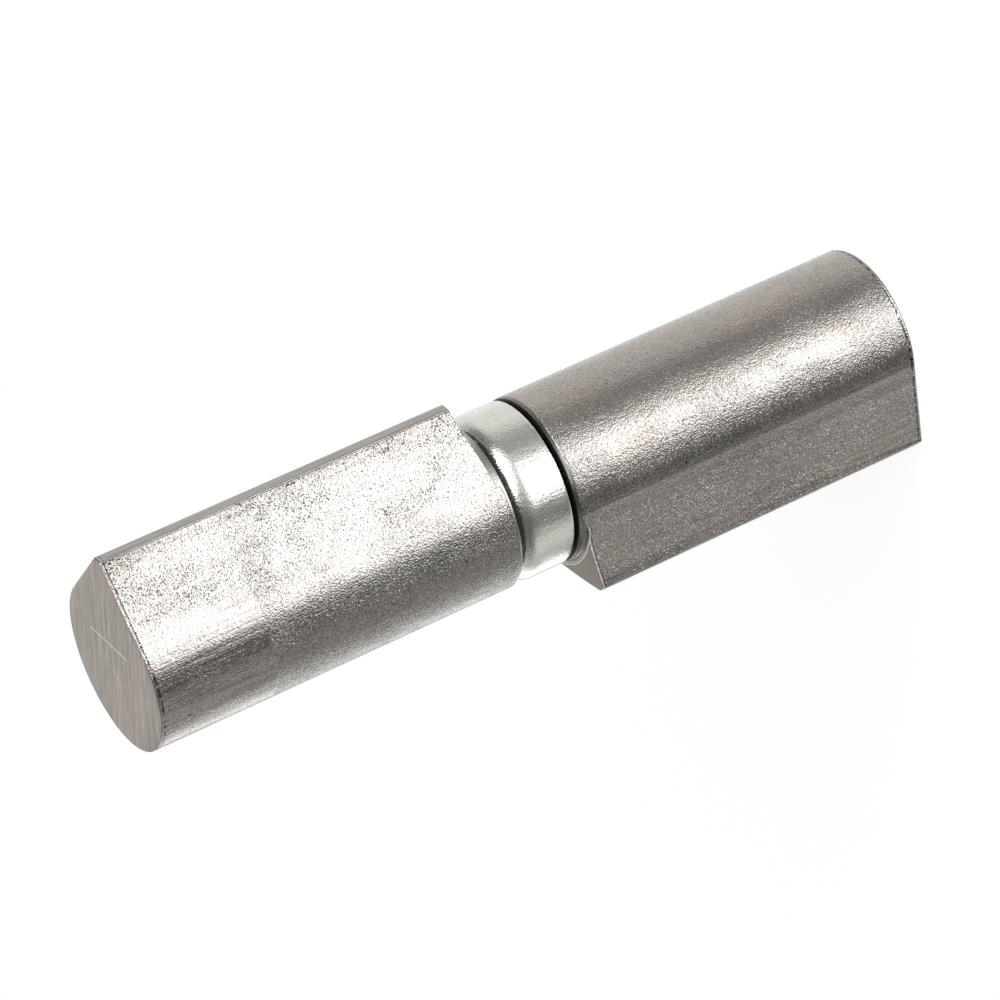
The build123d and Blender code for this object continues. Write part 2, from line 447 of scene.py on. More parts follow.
class Wire:
    """One value in a node tree; arithmetic on it adds Math nodes."""

    def __init__(self, sheet, socket):
        self.sheet, self.socket = sheet, socket

    def math(self, operation, *others):
        """A Math node whose first value is this one."""
        return self.sheet.math(operation, self, *others)

    def __add__(self, other):
        return self.math("ADD", other)

    def __radd__(self, other):
        return self.sheet.math("ADD", other, self)

    def __sub__(self, other):
        return self.math("SUBTRACT", other)

    def __rsub__(self, other):
        return self.sheet.math("SUBTRACT", other, self)

    def __mul__(self, other):
        return self.math("MULTIPLY", other)

    def __rmul__(self, other):
        return self.sheet.math("MULTIPLY", other, self)

    def __truediv__(self, other):
        return self.math("DIVIDE", other)

    def __rtruediv__(self, other):
        return self.sheet.math("DIVIDE", other, self)

    def __abs__(self):
        return self.math("ABSOLUTE")

    def over(self, low, high):
        """0 below low, 1 above high, smooth between; low above high turns it round."""
        return self.sheet.node(
            "ShaderNodeMapRange",
            {"Value": self, "From Min": low, "From Max": high},
            interpolation_type="SMOOTHSTEP",
            clamp=True,
        )


def set_stops(ramp, stops):
    """Gives a colour ramp grey stops, each a (position, brightness) from 0 to 1."""
    ramp.elements.remove(ramp.elements[-1])
    for number, (position, grey) in enumerate(stops):
        stop = ramp.elements.new(position) if number else ramp.elements[0]
        stop.position = position
        stop.color = (grey, grey, grey, 1.0)


class NodeSheet:
    """Builds one node tree."""

    def __init__(self, tree):
        self.tree = tree
        tree.nodes.clear()

    def put(self, target, value):
        """Links a wire to a socket, or sets the socket's own value."""
        if isinstance(value, Wire):
            self.tree.links.new(value.socket, target)
        else:
            target.default_value = value

    def node(self, kind, sockets=None, out=0, stops=None, **settings):
        """Adds any node: its settings and a ramp's stops first, then the values or links of its
        sockets. Gives the wire of one output, or of each output in a tuple."""
        made = self.tree.nodes.new(kind)
        for key, value in settings.items():
            setattr(made, key, value)
        if stops:
            set_stops(made.color_ramp, stops)
        for key, value in (sockets or {}).items():
            self.put(made.inputs[key], value)
        if isinstance(out, tuple):
            return [Wire(self, made.outputs[key]) for key in out]
        return Wire(self, made.outputs[out])

    def math(self, operation, *values):
        """One Math node."""
        return self.node("ShaderNodeMath", dict(enumerate(values)), operation=operation)

    def vector(self, operation, *values):
        """One Vector Math node."""
        return self.node("ShaderNodeVectorMath", dict(enumerate(values)), operation=operation)

    def joined(self, x, y, z):
        """A vector from three numbers or wires."""
        return self.node("ShaderNodeCombineXYZ", {0: x, 1: y, 2: z})

    def split(self, vector):
        """The three parts of a vector."""
        return self.node("ShaderNodeSeparateXYZ", {0: vector}, out=(0, 1, 2))

    def blend(self, share, first, second, kind="MIX"):
        """Mix of two colours."""
        sides = {}
        for key, value in ((MIX_FIRST, first), (MIX_SECOND, second)):
            sides[key] = value if isinstance(value, Wire) else (*value, 1.0)
        return self.node(
            "ShaderNodeMix", {0: share, **sides}, out=MIX_RESULT, data_type="RGBA", blend_type=kind
        )

    def noise(self, place, scale, detail=2.0, rough=0.5, warp=0.0):
        """Noise from 0 to 1 at the given number of features to a unit of place."""
        return self.node(
            "ShaderNodeTexNoise",
            {"Vector": place, "Scale": scale, "Detail": detail, "Roughness": rough, "Distortion": warp},
        )


class Metal(NodeSheet):
    """A metal: one Principled shader whose colour, roughness and bump are worked out from the
    place on the piece, in millimetres, with the piece's nose along +X."""

    def __init__(self, name, turn=0.0):
        self.material = bpy.data.materials.new(name)
        self.material.use_nodes = True
        super().__init__(self.material.node_tree)
        spot = self.node("ShaderNodeTexCoord", out="Object")
        self.place = self.node(
            "ShaderNodeMapping",
            {"Vector": spot, "Scale": (1 / MM, 1 / MM, 1 / MM), "Rotation": (0, 0, -turn)},
        )
        self.x, self.y, self.z = self.split(self.place)

    def stretched(self, x, y, z):
        """The place with its axes scaled, for streaks."""
        return self.vector("MULTIPLY", self.place, (x, y, z))

    def tone(self, base, level):
        """The base colour times a grey level."""
        grey = self.node("ShaderNodeCombineColor", {0: level, 1: level, 2: level})
        return self.blend(1.0, base, grey, "MULTIPLY")

    def finish(self, colour, roughness, relief):
        """Feeds the shader and gives the material; the relief is in millimetres."""
        bump = self.node("ShaderNodeBump", {"Height": relief, "Strength": 1.0, "Distance": MM})
        shader = self.node(
            "ShaderNodeBsdfPrincipled",
            {"Base Color": colour, "Metallic": 1.0, "Roughness": roughness, "Normal": bump},
        )
        self.node("ShaderNodeOutputMaterial", {"Surface": shader}, out=())
        return self.material


# direction of the saw's cut over a sawn end, and hairlines scratched into it: the direction
# across each, its place along that direction, its two ends along Y and its width, in
# millimetres, and its strength
SAW_X, SAW_Y = 0.985, 0.17
HAIRLINES = (
    ((0.999, 0.047), 2.37, (-3.0, 3.9), 0.055, 1.0),
    ((0.96, -0.28), -0.9, (0.6, 1.7), 0.035, 0.5),
    ((0.99, 0.12), -2.6, (-3.9, -2.6), 0.035, 0.4),
)


class LeafSteel(Metal):
    """Bare drawn steel. Scattered peening and fine wrinkles over the side, axial draw streaks,
    warm blotches and a few dark pits; parallel saw lines and hairlines on the sawn end and a
    dented burr round it; tool rings on the turned end, with a bright spigot, painted shade in the
    seam at the spigot's edge and in the scoop, and painted highlights on the scoop's lip and the
    wing's rolled edge; a painted shade band along the lower leaf's barrel and painted light on
    the upper leaf's flanks; a smoother, darker strip along the nose. Lengths are in millimetres
    here.

    turn: angle of the nose. sawn: height of the sawn end. upward: 1 where the leaf stands on its
    sawn end, -1 where it hangs from it. seed: shifts the pattern. jaw_mark: distance from the
    sawn end of a faint line round the back where the drawing jaws held the bar, streaky on one
    side of it and rough on the other. scale: how far mill scale darkens and roughens the back.
    tarnish: how far the steel is browned.
    """

    def __init__(self, name, settings, end, turn, sawn, upward, seed, jaw_mark, scale, tarnish):
        super().__init__(name, turn)
        self.metals = settings.metals
        self.steel, self.brown = tuple(self.metals.steel), tuple(self.metals.steel_brown)
        self.jaw_mark, self.scale, self.tarnish = jaw_mark, scale, tarnish
        self.height = (self.z - sawn) * upward
        self.radius = self.math("SQRT", self.x * self.x + self.y * self.y)
        self.set_grain(seed)
        self.set_faces(settings.leaf, end)
        self.set_back_and_nose(settings.leaf)
        self.set_sawn_marks()
        self.set_turned_marks(end)

    def grained(self, stretch, detail, rough, warp=0.0):
        """Noise on the shifted place with its axes scaled."""
        place = self.vector("MULTIPLY", self.shifted, stretch)
        return self.noise(place, 1.0, detail, rough, warp)

    def set_grain(self, seed):
        """The patterns that the finishes are made of."""
        self.shifted = self.vector("ADD", self.place, (seed * 3.7, seed * 1.3, 0))
        self.grain = self.noise(self.shifted, 3.4, 2.0, 0.6)
        self.fine = self.noise(self.shifted, 6.2, 1.0, 0.5)
        self.mottle = self.noise(self.shifted, 1.5, 2.0, 0.5)
        self.pit = self.noise(self.shifted, 1.35, 2.0, 0.7).over(0.70, 0.76)
        self.wrinkle = self.grained((1.7, 1.7, 3.4), 2.0, 0.6, 0.5)
        self.streak = self.grained((3.4, 3.4, 0.11), 3.0, 0.6)
        self.broad = self.grained((0.40, 0.40, 0.03), 2.0, 0.5)
        self.blotch = self.grained((0.22, 0.22, 0.09), 3.0, 0.6)
        self.patch = self.grained((0.3, 0.3, 0.16), 2.5, 0.6).over(0.42, 0.60)
        self.burr = self.grained((2.4, 2.4, 1.0), 2.0, 0.7)
        slow = self.vector("ADD", self.stretched(0.1, 0.1, 0.14), (seed, 0, 0))
        self.wrinkled = self.noise(slow, 1.0, 1.0, 0.5).over(0.50, 0.62)

    def set_faces(self, leaf, end):
        """Masks of the faces: the sawn end, the turned end and the side. The turned end lies
        above its rim, which follows the scoop's parabola and then a straight wing face."""
        inner, outer, _, _, scoop = turned_end(leaf, end)
        self.size = end["length"] / MM
        self.edge_radius = outer / MM
        powers = (2, 1, 0)
        bend_2, bend_1, bend_0 = (float(c) * MM**power / MM for c, power in zip(scoop, powers))
        slope = (end["nose_back"] - end["face_back"]) / (tool_reach(leaf) - outer)
        outside = self.math("MAXIMUM", self.radius, inner / MM)
        within = self.math("MINIMUM", outside, self.edge_radius)
        past = self.math("MAXIMUM", self.radius - within, 0.0)
        rim = (within * bend_2 + bend_1) * within + bend_0 - past * slope
        self.over_rim = self.height - rim
        self.end_face = self.height.over(0.10, 0.02)
        self.turned_face = self.over_rim.over(-0.03, 0.0)
        self.wing_face = self.turned_face * self.by_edge(-0.02, 0.02)
        self.side = (1 - self.end_face) * (1 - self.turned_face)

    def by_edge(self, low, high):
        """Radius measured from the turned end's sharp edge: 0 below low, 1 above high."""
        return self.radius.over(self.edge_radius + low, self.edge_radius + high)

    def set_back_and_nose(self, leaf):
        """Masks of the round back, the nose and the places near either end."""
        height, mark = self.height, self.jaw_mark
        reach = leaf.nose_reach / MM
        self.near_sawn = height.over(9.0, 1.0)
        self.near_turned = height.over(self.size - 6.0, self.size - 2.0)
        self.back = self.radius.over(8.25, 8.05)
        self.held = height.over(mark, mark - 0.08) * self.back
        self.gripped = height.over(mark + 4.0, mark + 0.5) * height.over(mark - 0.3, mark + 0.1)
        far_side = self.x.over(-5.4, -3.6) * self.scale
        self.scaled = self.x.over(3.6, 1.0) * far_side
        self.dulled = self.x.over(4.3, 3.1) * far_side
        self.nose = self.x.over(reach - 0.14, reach - 0.05)
        self.beside = self.x.over(reach - 1.5, reach - 0.3) * (1 - self.nose)
        line = height.over(mark - 0.18, mark - 0.08) * height.over(mark + 0.12, mark + 0.02)
        self.jaw_line = line * self.x.over(3.0, 1.2) * self.burr.over(0.30, 0.55)

    def set_sawn_marks(self):
        """Saw lines, nicks and hairlines of the sawn end, and the burr round it."""
        along = self.y * SAW_Y - self.x * SAW_X
        across = self.x * SAW_Y + self.y * SAW_X
        lines = self.joined(along * 0.20, across * 4.4, 0.5)
        self.saw = self.noise(lines, 1.0, 3.5, 0.68)
        wider = self.vector("MULTIPLY", lines, (2.2, 1.7, 1.0))
        self.nick = self.noise(wider, 1.0, 1.0, 0.5).over(0.60, 0.74)
        self.hairs = 0.0
        for (tilt_x, tilt_y), at, ends, width, strength in HAIRLINES:
            tilted = self.x * tilt_x + self.y * tilt_y
            self.hairs = self.scratch(tilted, self.y, at, ends, width) * strength + self.hairs
        line = self.height.over(0.46, 0.36) * self.height.over(0.20, 0.28)
        self.burr_line = line * self.burr.over(0.36, 0.50)

    def scratch(self, across, along, at, ends, width):
        """A straight hairline: 1 within its width of the line across = at, between two ends."""
        start, stop = ends
        near = abs(across - at).over(width, width * 0.3)
        return near * along.over(start, start + 0.4) * along.over(stop, stop - 0.4)

    def set_turned_marks(self, end):
        """Tool rings of the turned end, its bright spigot, a painted highlight on the scoop's lip and
        painted shade in the seam at the spigot's edge, and a painted highlight on the rolled edge
        round the wing with a painted shade line behind it."""
        edge = end["end_edge"] / MM
        rings = self.joined(self.radius * 5.0, self.height * 5.0, 0.3)
        self.tool = self.noise(rings, 1.0, 2.0, 0.6)
        # painted shade in the seam: the top of the spigot's broken edge, next to the cup
        self.seam_shade = self.height.over(self.size - 0.5 * edge, self.size - 0.1 * edge)
        spigot = self.by_edge(-0.03, -0.01) * self.by_edge(0.04, 0.02)
        spigot = spigot * self.height.over(self.size - 0.34, self.size - 0.22)
        self.spigot = spigot * (1 - self.seam_shade)
        # painted highlight: a light, rough ring at the scoop's sharp edge, strongest on the lower leaf
        scoop_lip_highlight = self.by_edge(-0.11, -0.05) * self.by_edge(0.10, 0.05)
        self.scoop_lip_highlight = scoop_lip_highlight * self.turned_face * self.tarnish
        under_rim = (1 - self.turned_face) * self.tarnish * (1 - self.back)
        # painted highlight: a light, rough band on the wing's rolled edge
        self.wing_edge_highlight = self.over_rim.over(-0.16, -0.11) * under_rim
        # painted shade: a dark line just behind the wing's rolled edge
        edge_shade_line = self.over_rim.over(-0.34, -0.26) * self.over_rim.over(-0.15, -0.20)
        self.wing_shade_line = edge_shade_line * self.tarnish * (1 - self.back)

    def side_colour(self):
        """Steel with brown blotches, dark and pale dots, streaks and pits; a painted shade band along
        the lower leaf's barrel, painted light on the upper leaf's flanks, and a painted highlight on
        the wing's rolled edge with a painted shade line behind it.
        """
        tarnish, streak, held = self.tarnish, self.streak, self.held
        flank = 1 - self.back
        # painted light: the upper leaf's flanks are made lighter; the same mask adds dark grain dots
        # there
        flank_light_and_grain = flank * (1 - tarnish)
        dark_dot = self.grain.over(0.55, 0.66) * (0.05 + self.patch * 0.10)
        dots = self.fine.over(0.56, 0.68) * (0.14 + self.patch * 0.10)
        dark_dot = dark_dot + dots * (1 + flank_light_and_grain * 3.4)
        pale_dot = self.fine.over(0.46, 0.34) * 0.30
        brown = self.blotch.over(0.44, 0.66) * (0.20 + tarnish * 0.50)
        brown = brown + held * 0.45 * streak.over(0.40, 0.62)
        # painted shade: a dark band along the lower leaf's barrel, just past its flank, from 47 to 64
        # degrees round the axis
        azimuth = self.math("ARCTAN2", self.y, self.x) * math.degrees(1)
        painted_shade_band = azimuth.over(47.0, 48.6) * azimuth.over(64, 54) * tarnish
        painted_shade_band = painted_shade_band * self.back.over(-1.0, 0.5)
        drawn = streak.over(0.42, 0.34) * 0.12 - streak.over(0.56, 0.66) * 0.20
        pale_end = self.height.over(11.4, 11.1) * self.x.over(6.3, 6.8)

        shade = 1.06 - tarnish * 0.13 + flank_light_and_grain * 0.10 - self.pit * 0.5
        shade = shade - dark_dot * (1.0 - held * 0.4) + pale_dot
        shade = shade + (self.blotch - 0.5) * tarnish * 0.45
        shade = shade + (self.mottle - 0.5) * 0.22 - painted_shade_band * 0.36
        shade = shade + (drawn + pale_end * 0.07 + brown * 0.08) * flank * tarnish
        shade = shade - self.dulled * (0.36 - held * 0.10) - held * streak.over(0.48, 0.62) * 0.2
        shade = shade - self.beside * (streak.over(0.42, 0.60) * 0.28 + 0.08)
        shade = shade - self.burr_line * 0.65 + self.jaw_line * 0.22
        colour = self.blend(self.math("MINIMUM", brown, 1.0), self.steel, self.brown)
        colour = self.tone(colour, shade)
        colour = self.tone(colour, 1.0 - self.wing_shade_line * self.burr.over(0.30, 0.50) * 0.5)
        return self.blend(self.wing_edge_highlight, colour, tuple(self.metals.wing_edge_highlight))

    def strip_colour(self):
        """The strip along the nose."""
        dark_streak = self.streak.over(0.50, 0.58) * 0.30
        return self.tone(self.steel, 0.85 + self.streak * 0.40 - dark_streak)

    def sawn_colour(self):
        """The sawn end."""
        return self.tone(self.brown, self.saw * 1.55 - 0.13 + self.nick * 0.30 + self.hairs * 2.3)

    def turned_colour(self):
        """The scoop under painted shade, the wing face, the spigot, painted shade in the seam and a
        painted highlight on the sharp edge.
        """
        grit = self.fine.over(0.5, 0.65) * 0.25 * (1 - self.wing_face)
        colour = self.tone(self.steel, 0.62 + self.tool * 0.50 - grit)
        # painted shade: darkens the scoop and the turned end outside the wing face, most on the lower
        # leaf; tool rings stay lighter
        scoop_shade = self.tarnish * (0.45 - self.tool.over(0.52, 0.64) * 0.40)
        colour = self.tone(colour, 1.0 - scoop_shade)
        colour = self.blend(self.wing_face, colour, self.tone(self.brown, 0.40 + self.blotch * 0.16))
        colour = self.blend(self.spigot, colour, tuple(self.metals.spigot))
        colour = self.blend(self.seam_shade, colour, tuple(self.metals.seam_shade))
        return self.blend(self.scoop_lip_highlight, colour, tuple(self.metals.scoop_lip_highlight))

    def colour(self):
        """All the faces' colours."""
        base = self.blend(self.nose, self.side_colour(), self.strip_colour())
        base = self.blend(self.turned_face, base, self.turned_colour())
        return self.blend(self.end_face, base, self.sawn_colour())

    def roughness(self):
        """Fairly bright all over, a little duller on the ends."""
        side = 0.165 + (self.grain - 0.5) * 0.20 + (self.fine - 0.5) * 0.10
        side = side + (self.blotch - 0.5) * 0.08 + self.scaled * 0.03 + self.wing_edge_highlight * 0.3
        turned_part = 0.17 + self.tool * 0.10 - self.spigot * 0.05 + self.scoop_lip_highlight * 0.25
        rough = side * self.side + self.turned_face * turned_part
        rough = rough + self.seam_shade * 0.25 + self.end_face * (0.24 + self.saw * 0.14)
        return rough.math("MAXIMUM", 0.06)

    def relief(self):
        """Peening, wrinkles, streaks and waves on the side; saw lines and tool rings."""
        tarnish, off_nose = self.tarnish, 1 - self.nose * 0.8
        lively = 0.80 + (1 - self.back) * (tarnish * 1.45 - 0.35) + self.scaled * 0.9
        lively = lively * (0.85 + self.patch * 0.45 + self.gripped * 0.4)
        lively = lively * off_nose * (1 - self.held * 0.45)
        peening = lively * (self.grain.over(0.47, 0.80) * 0.018 + self.fine * 0.062)
        depth = 0.012 + self.near_sawn * (1 - tarnish) * 0.034 + self.near_turned * 0.010
        depth = depth + self.wrinkled * 0.026 + self.beside * 0.024
        wrinkles = self.wrinkle * depth * off_nose
        streaks = self.streak * (0.008 + self.held * 0.03) + self.broad * 0.04
        marks = self.jaw_line * 0.012 - self.burr_line * 0.06
        sawn = self.saw * 0.022 + self.nick * 0.006 + self.hairs * 0.012
        plain = 1 - self.wing_face
        rings = self.tool * (0.014 - self.wing_face * 0.012) + self.fine * 0.014 * plain
        relief = self.side * (peening + wrinkles + streaks + marks)
        return relief + self.end_face * sawn + self.turned_face * rings

    def made(self):
        """The finished material."""
        return self.finish(self.colour(), self.roughness(), self.relief())


def cup_zinc(settings):
    """Bright zinc on drawn sheet: faint clouding and mottling, hair-fine rings from the
    drawing, a few raised specks and darker stains."""
    m = Metal("cup_zinc")
    cloud = m.noise(m.place, 0.45, 3.0, 0.6)
    mottle = m.noise(m.place, 2.4, 2.0, 0.6)
    fine = m.noise(m.place, 6.0, 2.0, 0.6)
    rings = m.noise(m.stretched(0.35, 0.35, 6.0), 1.0, 2.0, 0.5)
    drawn = m.noise(m.stretched(1.6, 1.6, 0.12), 1.0, 2.0, 0.5)
    speck = m.noise(m.place, 1.9, 1.0, 0.5).over(0.70, 0.74)
    stain = m.noise(m.place, 0.55, 3.0, 0.65).over(0.56, 0.70)
    tone = 0.98 + cloud * 0.08 - speck * 0.10 - fine.over(0.54, 0.68) * 0.16
    tone = tone - stain * mottle.over(0.42, 0.58) * 0.22
    base = m.tone(tuple(settings.metals.zinc), tone)
    rough = 0.135 + cloud * 0.07 + (fine - 0.5) * 0.12 + mottle * 0.03
    relief = cloud * 0.03 + mottle * 0.022 + rings * 0.010 + drawn * 0.02
    return m.finish(base, rough, relief + fine * 0.024 + speck * 0.05)


def ground_steel(name, tint, rough, ring_scale):
    """Ground steel: fine rings round the axis, faint clouding and a few stains."""
    m = Metal(name)
    rings = m.noise(m.stretched(0.4, 0.4, ring_scale), 1.0, 3.0, 0.6)
    cloud = m.noise(m.place, 0.5, 3.0, 0.6)
    stain = m.noise(m.place, 0.9, 3.0, 0.6).over(0.62, 0.75)
    base = m.tone(tuple(tint), 0.88 + rings * 0.16 + cloud * 0.06 - stain * 0.12)
    rough = rough + (rings - 0.5) * 0.12 + stain * 0.08
    return m.finish(base, rough, rings * 0.006 + cloud * 0.01)


def cage_brass(settings):
    """Stamped brass: rolled grain one way and a slightly darker tarnish in clouds."""
    m = Metal("cage_brass")
    grain = m.noise(m.stretched(5.0, 0.4, 1.0), 1.0, 3.0, 0.6)
    cloud = m.noise(m.place, 0.6, 3.0, 0.6)
    brass = tuple(settings.metals.brass)
    base = m.blend(cloud.over(0.45, 0.7) * 0.5, brass, tuple(0.6 * c for c in brass))
    return m.finish(base, 0.26 + grain * 0.12, grain * 0.006 + cloud * 0.01)


def floor_white(studio):
    """Pale floor: white to the camera with a share of its own shading near the hinge, and clear
    to reflections and shadow rays, so that the metal shows the soft boxes all round it."""
    material = bpy.data.materials.new("floor_white")
    material.use_nodes = True
    s = NodeSheet(material.node_tree)
    rays = ("Is Camera Ray", "Is Glossy Ray", "Is Shadow Ray")
    camera, glossy, shadow = s.node("ShaderNodeLightPath", out=rays)
    spot = s.node("ShaderNodeTexCoord", out="Object")
    away = s.node("ShaderNodeVectorMath", {0: spot}, out="Value", operation="LENGTH")
    grain = s.noise(spot, 160.0, 3.0)
    tone = s.blend(grain, (0.86, 0.86, 0.86), (0.90, 0.90, 0.89))
    matt = s.node("ShaderNodeBsdfDiffuse", {"Color": tone})
    white = s.node("ShaderNodeEmission", {"Color": (1, 1, 1, 1), "Strength": 1.0})
    clear = s.node("ShaderNodeBsdfTransparent")
    share = 1.0 - studio.floor_shade * away.over(0.30, 0.08)
    seen = s.node("ShaderNodeMixShader", {0: camera * share, 1: matt, 2: white})
    passed = s.math("MAXIMUM", glossy, shadow)
    final = s.node("ShaderNodeMixShader", {0: passed, 1: seen, 2: clear})
    s.node("ShaderNodeOutputMaterial", {"Surface": final}, out=())
    return material


# walls and cards round the hinge, the low ones and the high ones: azimuth in degrees, brightness
LOW_CARDS = [
    (-180, 0.84), (-150, 0.84), (-138, 0.92), (-115, 1.0), (-96, 1.0), (-90, 0.25), (-80, 0.25),
    (-74, 1.3), (-65, 1.9), (-53, 1.9), (-46, 0.66), (-31, 0.48), (-19, 0.56), (-7, 0.70),
    (6, 0.70), (15, 0.46), (27, 0.20), (44, 0.20), (54, 0.48), (72, 0.72), (112, 0.85),
    (124, 0.50), (136, 0.36), (150, 0.36), (162, 0.58), (174, 0.82), (180, 0.84),
]
HIGH_CARDS = [
    (-180, 0.18), (-164, 0.24), (-150, 0.52), (-136, 0.72), (-120, 1.0), (-90, 0.95),
    (-60, 0.85), (-35, 0.45), (-5, 0.16), (30, 0.13), (50, 0.16), (72, 0.55), (110, 0.60),
    (140, 0.30), (156, 0.15), (180, 0.18),
]
LOW_AND_HIGH = (-3, 22)  # elevations between which the low cards give way to the high ones
RAMP_TOP = 2.0  # brightness that a ramp's full white stands for

# the two soft boxes: left edge, right edge and low edge, each as (degrees, lean), height of the
# top edge in degrees, and brightness
SOFT_BOXES = (
    ((61.5, 0), (105, 0), (-62, 0), -10, 2.08),
    ((112, 0.60), (124, 0.69), (54, 0.36), 78, 1.9),
)
SOFT_EDGE = 4.0  # degrees over which a soft box fades, to either side of its edge
DIM_TINT, BRIGHT_TINT = (1.025, 1.0, 0.955), (1.0, 1.0, 0.995)  # of dim and of bright light


def card_ring(s, azimuth, cards):
    """Brightness of one ring of cards: straight lines of the azimuth between its stops."""
    stops = [(degrees / 360 + 0.5, bright / RAMP_TOP) for degrees, bright in cards]
    return s.node("ShaderNodeValToRGB", {0: azimuth / 360 + 0.5}, stops=stops) * RAMP_TOP


def soft_box(azimuth, elevation, left, right, low, high, level):
    """A soft box seen from the hinge: its brightness inside four edges, fading over a few
    degrees at each. The left and the right edge lean outwards by so many degrees a degree of
    height, and the low one by so many a degree of azimuth."""
    from_left = azimuth + elevation * left[1] - left[0]
    from_right = azimuth - elevation * right[1] - right[0]
    from_low = elevation + azimuth * low[1] - low[0]
    across = from_left.over(-SOFT_EDGE, SOFT_EDGE) * from_right.over(SOFT_EDGE, -SOFT_EDGE)
    upright = from_low.over(-SOFT_EDGE, SOFT_EDGE) * elevation.over(high + SOFT_EDGE, high - SOFT_EDGE)
    return across * upright * level


def studio_world():
    """White to the camera. To the metal, cards and walls whose brightness depends on the
    azimuth, one ring set low and one high, and two soft boxes in front of them."""
    world = bpy.data.worlds.new("studio")
    bpy.context.scene.world = world
    world.use_nodes = True
    s = NodeSheet(world.node_tree)
    x, y, z = s.split(s.node("ShaderNodeTexCoord", out="Generated"))
    azimuth = s.math("ARCTAN2", y, x) * math.degrees(1)
    elevation = s.math("ARCSINE", z) * math.degrees(1)
    bottom, top = LOW_AND_HIGH
    level = card_ring(s, azimuth, LOW_CARDS) * elevation.over(top, bottom)
    level = level + card_ring(s, azimuth, HIGH_CARDS) * elevation.over(bottom, top)
    for box in SOFT_BOXES:
        level = level + soft_box(azimuth, elevation, *box)
    camera = s.node("ShaderNodeLightPath", out="Is Camera Ray")
    tint = s.blend(level.over(0.7, 1.6), DIM_TINT, BRIGHT_TINT)
    glow = s.node("ShaderNodeBackground", {"Color": tint, "Strength": level})
    white = s.node("ShaderNodeBackground", {"Color": (1.0, 1.0, 1.0, 1.0), "Strength": 1.0})
    final = s.node("ShaderNodeMixShader", {0: camera, 1: glow, 2: white})
    s.node("ShaderNodeOutputWorld", {"Surface": final}, out=())


# ---------------------------------------------------------------- operators


def add_camera(scene, studio):
    """The camera, at its place and turn."""
    data = bpy.data.cameras.new("camera")
    data.lens = studio.lens
    data.sensor_width = 36.0
    data.clip_start, data.clip_end = 0.01, 20.0
    camera = bpy.data.objects.new("camera", data)
    camera.location = studio.camera_place
    camera.rotation_euler = studio.camera_turn
    scene.collection.objects.link(camera)
    scene.camera = camera


def add_lamp(scene, studio):
    """One round lamp over the hinge, pointed at a place on the pin axis."""
    data = bpy.data.lights.new("lamp_over", "AREA")
    data.shape = "DISK"
    data.size, data.energy = studio.lamp_size, studio.lamp_power
    lamp = bpy.data.objects.new("lamp_over", data)
    place = Vector(studio.lamp_place)
    away = place - Vector((0, 0, studio.lamp_aim))
    lamp.location = place
    lamp.rotation_mode = "QUATERNION"
    lamp.rotation_quaternion = away.to_track_quat("Z", "Y")
    scene.collection.objects.link(lamp)


def add_floor(studio):
    """A flat round floor at the foot of the hinge."""
    rows = turned([(0, 0), (studio.floor_radius * 0.2, 0), (studio.floor_radius, 0)], 96)
    floor = skin("floor", rows[::-1])
    floor.data.materials.append(floor_white(studio))


class HINGE_OT_stage(bpy.types.Operator):
    """Camera, lamp, world and floor"""

    bl_idname = "hinge.stage"
    bl_label = "Stage"

    def execute(self, context):
        studio = context.scene.hinge.studio
        add_camera(context.scene, studio)
        add_lamp(context.scene, studio)
        studio_world()
        add_floor(studio)
        context.scene.view_settings.view_transform = "Standard"
        return {"FINISHED"}


def dress(piece, material, body, slot, *nodes):
    """Gives a finished piece its metal and its body, and hides the nodes it stands for; the slot is not
    used.
    """
    piece.data.materials.append(material)
    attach(piece, body)
    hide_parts(*nodes)


TURNED_SIZES = (
    "spigot", "scoop_width", "scoop_hollow", "face_back", "nose_back", "crown", "bevel", "end_edge",
)


def turned_sizes(size, sizes):
    """A leaf's length, and the sizes of its turned end."""
    return {"length": size, **{name: getattr(sizes, name) for name in TURNED_SIZES}}


NO_JAW_MARK = -9.0  # millimetres from the sawn end, so off the leaf


class HINGE_OT_lower_leaf(bpy.types.Operator):
    """Lower leaf, nose along +X, sawn end on the floor"""

    bl_idname = "hinge.lower_leaf"
    bl_label = "Lower leaf"

    def execute(self, context):
        h = context.scene.hinge
        top, pin, foot = LOWER_BOX[1].z, PIN_BOX[1].x, PIN_BOX[0].z
        end = turned_sizes(top, h.lower)
        bore = [(pin, top), *drilled(pin, foot)]
        piece = skin("lower_leaf_steel", leaf_rows(h.leaf, end, bore, h.studio.seed))
        steel = LeafSteel(
            "lower_leaf_steel",
            h,
            end,
            turn=0.0,
            sawn=0.0,
            upward=1.0,
            seed=1,
            jaw_mark=NO_JAW_MARK,
            scale=0.0,
            tarnish=1.0,
        )
        dress(piece, steel.made(), "fixed_leaf", "bare_steel", "lower_leaf")
        return {"FINISHED"}


